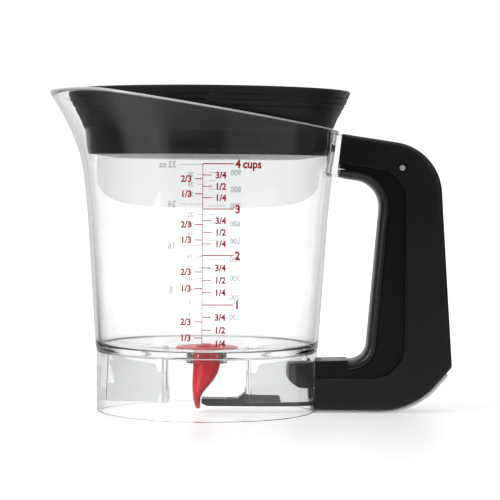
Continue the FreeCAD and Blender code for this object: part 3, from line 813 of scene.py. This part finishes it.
@dataclass
class SiliconeValve:
    """Red silicone moulding: a flange on the floor, its neck and the sleeve that is pinched shut.

    Sizes are in millimetres. A row of the sleeve is its height, its middle and its half width and depth."""

    steps: int = 96
    flange_outline: tuple[tuple[float, float], ...] = (
        (5.6, 24.9), (6.9, 24.9), (7.0, 25.0), (7.0, 31.1), (15.8, 31.1), (16.0, 31.25), (16.0, 31.6),
        (15.75, 31.9), (15.3, 32.05), (14.6, 32.1), (11.2, 32.1), (10.9, 31.95), (10.3, 31.95),
        (10.0, 32.1), (6.6, 32.1), (6.1, 32.0), (5.75, 31.7), (5.6, 31.2))
    outer: tuple[tuple[float, float, float, float], ...] = (
        (24.9, 0.0, 7.0, 7.0), (22.8, -0.25, 6.8, 7.05), (20.6, -0.6, 6.55, 7.2), (18.0, -1.3, 6.0, 7.3),
        (15.5, -2.1, 5.3, 7.45), (12.5, -3.35, 4.0, 7.6), (9.9, -4.35, 2.8, 7.75), (7.4, -4.95, 1.95, 7.8),
        (4.8, -4.85, 1.6, 7.0), (2.8, -4.45, 1.35, 5.2), (1.9, -4.3, 0.9, 3.6), (1.75, -4.3, 0.4, 2.0))
    inner: tuple[tuple[float, float, float, float], ...] = (
        (14.6, -2.4, 3.1, 6.0), (19.5, -0.8, 5.0, 5.8), (24.9, 0.0, 5.6, 5.6))
    fold_height: float = 12.0
    fold_reach: float = 9.0
    fold_width: float = 0.2
    fold_swell: float = 0.07

    def flange(self) -> bpy.types.Object:
        """Flange and neck, with softly rounded edges.

        Returns:
            The piece, riding on the jug.
        """
        bm = bmesh.new()
        turned(bm, self.flange_outline, self.steps)
        made = piece(bm, "silicone_flange", RED.build(), sharp_deg=50.0)
        return dress(made, Body.JUG, Slot.RED, "valve_flange")

    def folded(self, x: float, z: float, half_x: float, half_y: float) -> list[Vector]:
        """Oval ring with the soft folds that the pinch raises in the sleeve's front and back.

        Args:
            x: Middle of the ring.
            z: Its height.
            half_x: Half of its width.
            half_y: Half of its depth.

        Returns:
            The ring's points in the shared frame.
        """
        ring = oval(x, z, half_x, half_y)
        strength = self.fold_swell * max(0.0, 1.0 - abs(z - self.fold_height) / self.fold_reach)
        for index, spot in enumerate(ring):
            angle = FULL_TURN * index / len(ring)
            lean = math.radians(62.0 + 2.6 * (z - self.fold_height))
            for fold in (lean, math.pi - lean * 0.72):
                off = math.atan2(math.sin(angle + fold), math.cos(angle + fold))
                back = math.atan2(math.sin(angle - fold), math.cos(angle - fold))
                swell = sum(math.exp(-(away / self.fold_width) ** 2) for away in (off, back))
                spot.y *= 1.0 + strength * swell
        return ring

    def sleeve(self) -> bpy.types.Object:
        """Sleeve from the neck to its pinched end.

        Returns:
            The piece, with its placement baked into its mesh.
        """
        bm = bmesh.new()
        rings = [oval(x, z, half_x, half_y) for z, x, half_x, half_y in self.inner]
        rings += [self.folded(x, z, half_x, half_y) for z, x, half_x, half_y in self.outer]
        swept(bm, rings)
        made = piece(bm, "silicone_sleeve", RED.build(), sharp_deg=60.0)
        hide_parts("valve_sleeve")
        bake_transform(made)
        log.info("made %s with %d faces", made.name, len(made.data.polygons))
        return made


@dataclass
class SoftGrip:
    """Soft grip that lines the finger loop of the trigger."""

    corners: tuple[tuple[float, float, float], ...] = (
        (65.95, 118.6, 0.0), (87.9, 115.7, 13.5), (80.5, 26.4, 8.5), (71.75, 26.4, 0.0))
    depth: float = 4.87
    half_width: float = 10.15
    tail: tuple[float, ...] = (0.1, 0.6, 4.0, 8.0, 12.0, 13.6)
    tail_share: float = 0.14

    def section(self, shrink: float) -> list[tuple[float, float]]:
        """Closed section of the grip.

        Args:
            shrink: Distance by which the section is drawn in, in millimetres.

        Returns:
            Points as depth behind the finger side and distance across, in millimetres.
        """
        nose = [(0.0, 0.0), (0.02, 3.2), (0.12, 5.0), (0.4, 6.7), (0.95, 8.1), (1.75, 9.2), (2.7, 9.85),
                (3.6, 10.12), (4.2, self.half_width), (4.5, self.half_width - 0.1),
                (self.depth, self.half_width - 0.5)]
        half = [(min(max(u, shrink), self.depth - shrink), max(v - shrink, 0.0)) for u, v in nose]
        return half + [(u, -v) for u, v in half[:0:-1]]

    def build(self) -> bpy.types.Object:
        """Model the grip.

        Returns:
            The piece, riding on the trigger.
        """
        path = rounded_path(self.corners, PATH_STEP)
        last, heading = path[-1]
        full = len(path)
        path += [(last - Vector((run, 0.0)), heading) for run in self.tail]
        shrinks = {0: 0.5, 1: 0.15}
        rings = []
        for index, step in enumerate(path):
            share = 1.0 if index < full else self.tail_share
            rings += carried([step], [(u * share, v) for u, v in self.section(shrinks.get(index, 0.0))])
        bm = bmesh.new()
        swept(bm, rings)
        made = piece(bm, "soft_grip", GRIP.build(), sharp_deg=50.0)
        return dress(made, Body.TRIGGER, Slot.GRIP, "trigger_grip")


@dataclass
class ReturnSpring:
    """Coil spring between the trigger and the shell.

    Sizes are in millimetres, and places across are counted from the jug's axis."""

    start_x: float = 105.8
    end_x: float = 117.85
    height: float = 70.0
    coil_radius: float = 4.2
    wire_radius: float = 0.43
    turns: int = 6
    steps_per_turn: int = 20
    wire_sides: int = 8
    kept_share: float = 0.6

    def build(self) -> bpy.types.Object:
        """Model the coil.

        Returns:
            The piece, riding on the jug.
        """
        pitch = (self.end_x - self.start_x) / self.turns
        rings = []
        for step in range(self.turns * self.steps_per_turn + 1):
            angle = FULL_TURN * step / self.steps_per_turn
            radial = Vector((0.0, math.cos(angle), math.sin(angle)))
            heading = Vector((pitch / FULL_TURN, -self.coil_radius * math.sin(angle),
                              self.coil_radius * math.cos(angle))).normalized()
            across = heading.cross(radial)
            start = Vector((self.start_x + pitch * step / self.steps_per_turn, 0.0, self.height))
            centre = start + radial * self.coil_radius
            rings.append([AXIS + (centre + (radial * cosine + across * sine) * self.wire_radius) * MM
                          for cosine, sine in circle(self.wire_sides)])
        bm = bmesh.new()
        swept(bm, rings)
        made = piece(bm, "return_coil", STEEL.build(), sharp_deg=60.0)
        dress(made, Body.JUG, Slot.STEEL, "return_spring")
        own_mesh(made)
        return made


@dataclass
class SeamEdge:
    """Thin rounded edge of the shell along its seam with the trigger, on both sides."""

    corners: tuple[tuple[float, float, float], ...] = (
        (58.5, 17.25, 0.0), (100.15, 17.25, 16.45), (100.15, 121.3, 16.1), (68.0, 126.45, 0.0))
    across: float = 12.72
    radius: float = 0.26
    sides: int = 10

    def build(self) -> list[bpy.types.Object]:
        """Model both edges.

        Returns:
            The two pieces, riding on the jug.
        """
        made = []
        path = rounded_path(self.corners, PATH_STEP)
        for side, name in ((-1.0, "seam_edge_front"), (1.0, "seam_edge_back")):
            section = [(self.radius * cosine, side * self.across + self.radius * sine)
                       for cosine, sine in circle(self.sides)]
            bm = bmesh.new()
            swept(bm, carried(path, section))
            made.append(dress(piece(bm, name, SEAM.build(), sharp_deg=60.0), Body.JUG, Slot.SHELL))
        return made


@dataclass
class Print:
    """Lettering and lines printed on the outside of the wall, in millimetres as the reader sees them."""

    name: str
    finish: Finish
    behind: bool = False
    lift: float = 0.08
    ink_depth: float = 0.04
    squeeze: float = 0.95
    weight: float = 0.05
    number_share: float = 0.69

    def __post_init__(self) -> None:
        """Start with an empty mesh."""
        self.bm = bmesh.new()

    def line(self, left: float, right: float, height: float, thickness: float = 0.42) -> None:
        """Printed line.

        Args:
            left: Left end, from the jug's axis.
            right: Right end.
            height: Height above the table.
            thickness: Thickness of the line.
        """
        self._bar(((left + right) / 2.0, height), (right - left, thickness), 0, 1.5)

    def upright(self, x: float, low: float, high: float, thickness: float = 0.3) -> None:
        """Thin printed line from a low to a high place.

        Args:
            x: Place across.
            low: Height of its lower end.
            high: Height of its upper end.
            thickness: Thickness of the line.
        """
        self._bar((x, (low + high) / 2.0), (thickness, high - low), 1, 2.0)

    def _bar(self, middle: tuple[float, float], size: tuple[float, float], along: int,
             longest: float) -> None:
        """Flat bar of ink in short lengths that follow the wall.

        Args:
            middle: Place across and height of its middle.
            size: Its width and height.
            along: 0 for a bar that runs across, 1 for one that runs upwards.
            longest: Length of its short lengths.
        """
        made = bmesh.ops.create_cube(self.bm, size=1.0)["verts"]
        bmesh.ops.scale(self.bm, vec=(*size, self.ink_depth), verts=made)
        bmesh.ops.translate(self.bm, vec=(*middle, 0.0), verts=made)
        edges = dict.fromkeys(edge for vert in made for edge in vert.link_edges)
        runs = [edge for edge in edges if abs(edge.verts[0].co[along] - edge.verts[1].co[along]) > 1.5]
        if runs:
            cuts = max(1, int(size[along] / longest))
            bmesh.ops.subdivide_edges(self.bm, edges=runs, cuts=cuts, use_grid_fill=True)

    def text(self, words: str, x: float, height: float, size: float, align: str = "CENTER") -> None:
        """Printed word or number.

        Args:
            words: What is printed.
            x: Place across, from the jug's axis.
            height: Height of its middle above the table.
            size: Height of its numbers.
            align: Which end of the words is at x.
        """
        curve = bpy.data.curves.new("letters", "FONT")
        curve.body = words
        curve.size = size / self.number_share
        curve.align_x = align
        curve.offset = size * self.weight
        curve.extrude = 0.02
        curve.resolution_u = 3
        holder = bpy.data.objects.new("letters", curve)
        bpy.context.scene.collection.objects.link(holder)
        graph = bpy.context.evaluated_depsgraph_get()
        mesh = bpy.data.meshes.new_from_object(holder.evaluated_get(graph))
        place = Matrix.Translation((x, height - size / 2.0, 0.0))
        mesh.transform(place @ Matrix.Diagonal((self.squeeze, 1, 1, 1)))
        self.bm.from_mesh(mesh)
        bpy.data.objects.remove(holder)
        bpy.data.meshes.remove(mesh)

    def build(self) -> bpy.types.Object:
        """Bend the flat print round the wall.

        Returns:
            The piece, riding on the jug.
        """
        side = 1.0 if self.behind else -1.0
        for vert in self.bm.verts:
            radius, lean = bell(vert.co.y)
            angle = vert.co.x / radius
            reach = radius + self.lift + vert.co.z
            across = -side * reach * math.sin(angle) - lean
            vert.co = shared(across, side * reach * math.cos(angle), vert.co.y)
        made = piece(self.bm, self.name, self.finish.build())
        return dress(made, Body.JUG, Slot.CLEAR)


@dataclass
class CupScale:
    """Red scale in cups on the front of the jug."""

    marks: tuple[tuple[float, str, str], ...] = (
        (0.75, "3/4", "R"), (0.667, "2/3", "L"), (0.5, "1/2", "R"), (0.333, "1/3", "L"), (0.25, "1/4", "R"))
    cups: tuple[float, ...] = (57.2, 81.0, 103.3, 124.9)
    lowest: tuple[tuple[float, str, str], ...] = (
        (51.2, "3/4", "R"), (49.0, "2/3", "L"), (45.0, "1/2", "R"), (41.2, "1/3", "L"), (38.4, "1/4", "R"))
    line_x: float = -1.2
    fraction_size: float = 3.0
    number_size: float = 3.8

    def build(self) -> bpy.types.Object:
        """Print the scale.

        Returns:
            The printed piece.
        """
        ink = Print("front_scale_print", RED_INK)
        ink.upright(self.line_x, self.lowest[-1][0], self.cups[-1])
        upper = [self._between(low, high) for low, high in zip(self.cups, self.cups[1:])]
        for height, words, hand in (mark for group in (*upper, self.lowest) for mark in group):
            if hand == "R":
                ink.line(self.line_x, self.line_x + 4.3, height)
                ink.text(words, self.line_x + 8.6, height, self.fraction_size)
            else:
                ink.line(self.line_x - 3.8, self.line_x, height)
                ink.text(words, self.line_x - 7.9, height, self.fraction_size)
        for count, height in enumerate(self.cups, start=1):
            ink.line(self.line_x, self.line_x + 15.0, height, 0.5)
            ink.text(str(count), self.line_x + 16.9, height, self.number_size)
        ink.text("cups", self.line_x + 19.2, self.cups[-1], self.number_size, "LEFT")
        return ink.build()

    def _between(self, low: float, high: float) -> list[tuple[float, str, str]]:
        """Heights, words and sides of the fractions between two cup lines."""
        return [(low + (high - low) * share, words, hand) for share, words, hand in self.marks]


@dataclass
class MetricScale:
    """Grey scale in millilitres and ounces on the back of the jug, readable from behind."""

    middle: float = 3.1
    thickness: float = 0.36
    millilitres_per_ounce: float = 29.57
    levels: tuple[tuple[float, float], ...] = (
        (0.0, 34.5), (118.0, 44.6), (236.6, 57.7), (473.2, 81.5), (709.8, 103.8), (946.4, 125.1))

    def build(self) -> bpy.types.Object:
        """Print the scale.

        Returns:
            The printed piece.
        """
        ink = Print("back_scale_print", GREY_INK, behind=True)
        for millilitres in range(100, 950, 50):
            height = self.height_of(millilitres)
            whole = millilitres % 100 == 0
            ink.line(self.middle - (11.6 if whole else 6.0), self.middle - 2.0, height, self.thickness)
            if whole:
                ink.text(str(millilitres), self.middle - 17.2, height, 3.0)
        for ounces in range(4, 33, 2):
            height = self.height_of(ounces * self.millilitres_per_ounce)
            whole = ounces % 8 == 0
            ink.line(self.middle + 1.0, self.middle + (14.3 if whole else 4.4), height, self.thickness)
            ink.text(str(ounces), self.middle + (18.7 if whole else 8.0), height, 3.4 if whole else 2.2)
        ink.text("oz", self.middle + 22.0, self.height_of(946.0), 3.4, "LEFT")
        return ink.build()

    def height_of(self, millilitres: float) -> float:
        """Height above the table at which the jug holds a volume, in millimetres."""
        return between_rows(self.levels, millilitres)[0]


@dataclass
class FirstSight:
    """Nodes of the studio that tell direct sight, also through clear plastic, from light that has bounced."""

    tree: bpy.types.NodeTree
    mirrors_behind_clear: bool = False

    def socket(self) -> bpy.types.NodeSocket:
        """Add the nodes.

        Returns:
            A socket that is 1 in direct sight and 0 after a bounce. With mirrors_behind_clear,
            what is mirrored behind clear plastic is 1 too.
        """
        path = self.tree.nodes.new("ShaderNodeLightPath")
        bounces = self.tree.nodes.new("ShaderNodeMath")
        seen = self.tree.nodes.new("ShaderNodeMath")
        seen.operation = "LESS_THAN"
        seen.inputs[1].default_value = 0.5
        self.tree.links.new(path.outputs["Diffuse Depth"], bounces.inputs[0])
        self.tree.links.new(self.mirrored(path), bounces.inputs[1])
        self.tree.links.new(bounces.outputs["Value"], seen.inputs[0])
        return seen.outputs["Value"]

    def mirrored(self, path: bpy.types.Node) -> bpy.types.NodeSocket:
        """Find how often light was mirrored.

        Args:
            path: The Light Path node.

        Returns:
            Socket with the number of mirror bounces that count.
        """
        if not self.mirrors_behind_clear:
            return path.outputs["Glossy Depth"]
        outside = self.tree.nodes.new("ShaderNodeMath")
        outside.operation = "LESS_THAN"
        outside.inputs[1].default_value = 0.5
        counted = self.tree.nodes.new("ShaderNodeMath")
        counted.operation = "MULTIPLY"
        self.tree.links.new(path.outputs["Transmission Depth"], outside.inputs[0])
        self.tree.links.new(path.outputs["Glossy Depth"], counted.inputs[0])
        self.tree.links.new(outside.outputs["Value"], counted.inputs[1])
        return counted.outputs["Value"]


@dataclass
class Studio:
    """Pale floor, pale world, soft lights and the camera of the photograph."""

    camera_place: tuple[float, float, float] = (0.0, -0.967, 0.119)
    pitch_deg: float = 2.22
    roll_deg: float = 0.5
    lens: float = 136.7
    sensor: float = 36.0
    surround: tuple[tuple[float, float], ...] = (
        (-180.0, 0.12), (-150.0, 0.14), (-138.0, 0.75), (-112.0, 0.7), (-100.0, 0.1), (-50.0, 0.12),
        (-34.0, 1.0), (34.0, 1.0), (50.0, 0.12), (92.0, 0.14), (102.0, 0.42), (160.0, 0.4), (172.0, 0.14),
        (180.0, 0.12))
    fill_strength: float = 0.72
    backdrop_strength: float = 1.03
    # Painted light of the floor: its glow in direct sight, then the grey and the run of the painted
    # reflection that bounced light sees near the jug.
    glow_near: float = 0.4
    glow_far: float = 0.85
    glow_run: tuple[float, float] = (0.12, 0.9)
    floor_size: float = 6.0
    floor_drop: float = 0.0001
    near_grey: float = 0.85
    panel_run: tuple[float, float] = (0.2, 0.32)
    aim: tuple[float, float, float] = (0.0, 0.0, 0.08)
    lights: tuple[tuple[str, tuple[float, float, float], tuple[float, float], float], ...] = (
        ("left_softbox", (-0.9, -0.7, 0.75), (0.25, 0.9), 5.0),
        ("right_softbox", (0.9, -0.5, 0.6), (0.35, 0.8), 1.4),
        ("top_softbox", (0.0, 0.1, 1.1), (1.6, 1.4), 4.5))

    def camera(self) -> None:
        """Camera at the photograph's angle."""
        data = bpy.data.cameras.new("photo_camera")
        data.lens = self.lens
        data.sensor_width = self.sensor
        made = bpy.data.objects.new("photo_camera", data)
        turn = (Matrix.Rotation(math.radians(90.0 - self.pitch_deg), 4, "X")
                @ Matrix.Rotation(math.radians(self.roll_deg), 4, "Z"))
        made.matrix_world = Matrix.Translation(self.camera_place) @ turn
        bpy.context.scene.collection.objects.link(made)
        bpy.context.scene.camera = made

    def floor(self) -> None:
        """Lay a wide pale table that glows though it is no lamp: in direct sight a painted glow that grows
        away from the jug, and to bounced light a painted reflection of the grey of the studio above it, plain
        grey near the jug.
        """
        bm = bmesh.new()
        bmesh.ops.create_grid(bm, x_segments=1, y_segments=1, size=self.floor_size,
                              matrix=Matrix.Translation((0.0, 0.0, -self.floor_drop)))
        surface = TABLE.build()
        nodes = surface.node_tree.nodes
        links = surface.node_tree.links
        shader = nodes["Principled BSDF"]
        shader.inputs["Emission Color"].default_value = (1.0, 1.0, 1.0, 1.0)
        first = FirstSight(surface.node_tree).socket()
        place = nodes.new("ShaderNodeTexCoord")
        distance = nodes.new("ShaderNodeVectorMath")
        distance.operation = "LENGTH"
        # Painted light: the floor glows, weaker near the jug and stronger far off.
        glow = nodes.new("ShaderNodeMapRange")
        glow.inputs["From Min"].default_value, glow.inputs["From Max"].default_value = self.glow_run
        glow.inputs["To Min"].default_value = self.glow_near
        glow.inputs["To Max"].default_value = self.glow_far
        # Painted reflection: bounced light sees the floor glow in the studio's grey, plain grey near the jug.
        painted_reflection_glow = nodes.new("ShaderNodeEmission")
        painted_reflection_glow.inputs["Strength"].default_value = self.fill_strength
        bounce = nodes.new("ShaderNodeMixShader")
        ends = nodes.new("ShaderNodeMix")
        ends.data_type = "RGBA"
        ends.inputs[MIX_FIRST].default_value = (self.near_grey, self.near_grey, self.near_grey, 1.0)
        reach = nodes.new("ShaderNodeMapRange")
        reach.inputs["From Min"].default_value, reach.inputs["From Max"].default_value = self.panel_run
        links.new(place.outputs["Object"], distance.inputs[0])
        links.new(distance.outputs["Value"], glow.inputs["Value"])
        links.new(glow.outputs["Result"], shader.inputs["Emission Strength"])
        links.new(distance.outputs["Value"], reach.inputs["Value"])
        links.new(reach.outputs["Result"], ends.inputs[MIX_FACTOR])
        links.new(self.surroundings(surface.node_tree, place.outputs["Object"]), ends.inputs[MIX_SECOND])
        links.new(ends.outputs[MIX_RESULT], painted_reflection_glow.inputs["Color"])
        links.new(first, bounce.inputs[0])
        links.new(painted_reflection_glow.outputs[0], bounce.inputs[1])
        links.new(shader.outputs[0], bounce.inputs[2])
        links.new(bounce.outputs[0], nodes["Material Output"].inputs["Surface"])
        made = piece(bm, "studio_floor", surface, mend=False)

    def light(self, name: str, place: tuple[float, float, float], size: tuple[float, float],
              power: float) -> None:
        """Soft rectangular light aimed at the jug.

        Args:
            name: Name of the light.
            place: Where it stands, in metres.
            size: Its width and height in metres.
            power: Its power in watts.
        """
        data = bpy.data.lights.new(name, "AREA")
        data.shape = "RECTANGLE"
        data.size, data.size_y = size
        data.energy = power
        made = bpy.data.objects.new(name, data)
        heading = Vector(self.aim) - Vector(place)
        made.matrix_world = Matrix.Translation(place) @ heading.to_track_quat("-Z", "Y").to_matrix().to_4x4()
        bpy.context.scene.collection.objects.link(made)

    def surroundings(self, tree: bpy.types.NodeTree, heading: bpy.types.NodeSocket) -> bpy.types.NodeSocket:
        """Add nodes that give the grey of the studio in a compass direction.

        Args:
            tree: The node tree to add to.
            heading: Socket with the direction or place.

        Returns:
            Socket with the grey.
        """
        parts = tree.nodes.new("ShaderNodeSeparateXYZ")
        round_about = tree.nodes.new("ShaderNodeMath")
        round_about.operation = "ARCTAN2"
        share = tree.nodes.new("ShaderNodeMapRange")
        share.inputs["From Min"].default_value = -math.pi
        share.inputs["From Max"].default_value = math.pi
        tone = tree.nodes.new("ShaderNodeValToRGB")
        stops = tone.color_ramp.elements
        for index, (degrees, grey) in enumerate(self.surround):
            stop = stops[index] if index < 2 else stops.new(1.0)
            stop.position = (degrees + 180.0) / 360.0
            stop.color = (grey, grey, grey * 1.005, 1.0)
        tree.links.new(heading, parts.inputs["Vector"])
        tree.links.new(parts.outputs["X"], round_about.inputs[0])
        tree.links.new(parts.outputs["Y"], round_about.inputs[1])
        tree.links.new(round_about.outputs["Value"], share.inputs["Value"])
        tree.links.new(share.outputs["Result"], tone.inputs["Fac"])
        return tone.outputs["Color"]

    def world(self) -> None:
        """Set up pale surroundings, with darker sides that draw the edges of clear plastic."""
        world = bpy.data.worlds.new("studio_world")
        bpy.context.scene.world = world
        world.use_nodes = True
        nodes = world.node_tree.nodes
        links = world.node_tree.links
        place = nodes.new("ShaderNodeTexCoord")
        seen = FirstSight(world.node_tree, mirrors_behind_clear=True).socket()
        power = nodes.new("ShaderNodeMapRange")
        power.inputs["To Min"].default_value = self.fill_strength
        power.inputs["To Max"].default_value = self.backdrop_strength
        links.new(seen, power.inputs["Value"])
        tone = self.surroundings(world.node_tree, place.outputs["Generated"])
        links.new(tone, nodes["Background"].inputs["Color"])
        links.new(power.outputs["Result"], nodes["Background"].inputs["Strength"])

    def build(self) -> None:
        """Set up the whole studio."""
        self.camera()
        self.floor()
        self.world()
        for name, place, size, power in self.lights:
            self.light(name, place, size, power)
        bpy.context.scene.view_settings.view_transform = "Standard"
        log.info("studio is ready")


def main() -> None:
    """Build the scene piece by piece."""
    logging.basicConfig(level=logging.INFO)
    Studio().build()
    ConstructionFinishes({
        # The pivot pin takes the steel with the painted highlight.
        "handle_shell": SHELL, "handle_screws": STEEL, "pivot_pin": PIN_STEEL_PAINTED_HIGHLIGHT,
        "trigger_lever": TRIGGER, "valve_arm": ARM, "link_pin": STEEL,
        "strainer_lid": STRAINER_BAND,
    }).build()
    ClearJug().build()
    valve = SiliconeValve()
    valve.flange()
    valve.sleeve()
    SoftGrip().build()
    SeamEdge().build()
    ReturnSpring().build()
    CupScale().build()
    MetricScale().build()


if __name__ == "__main__":
    main()
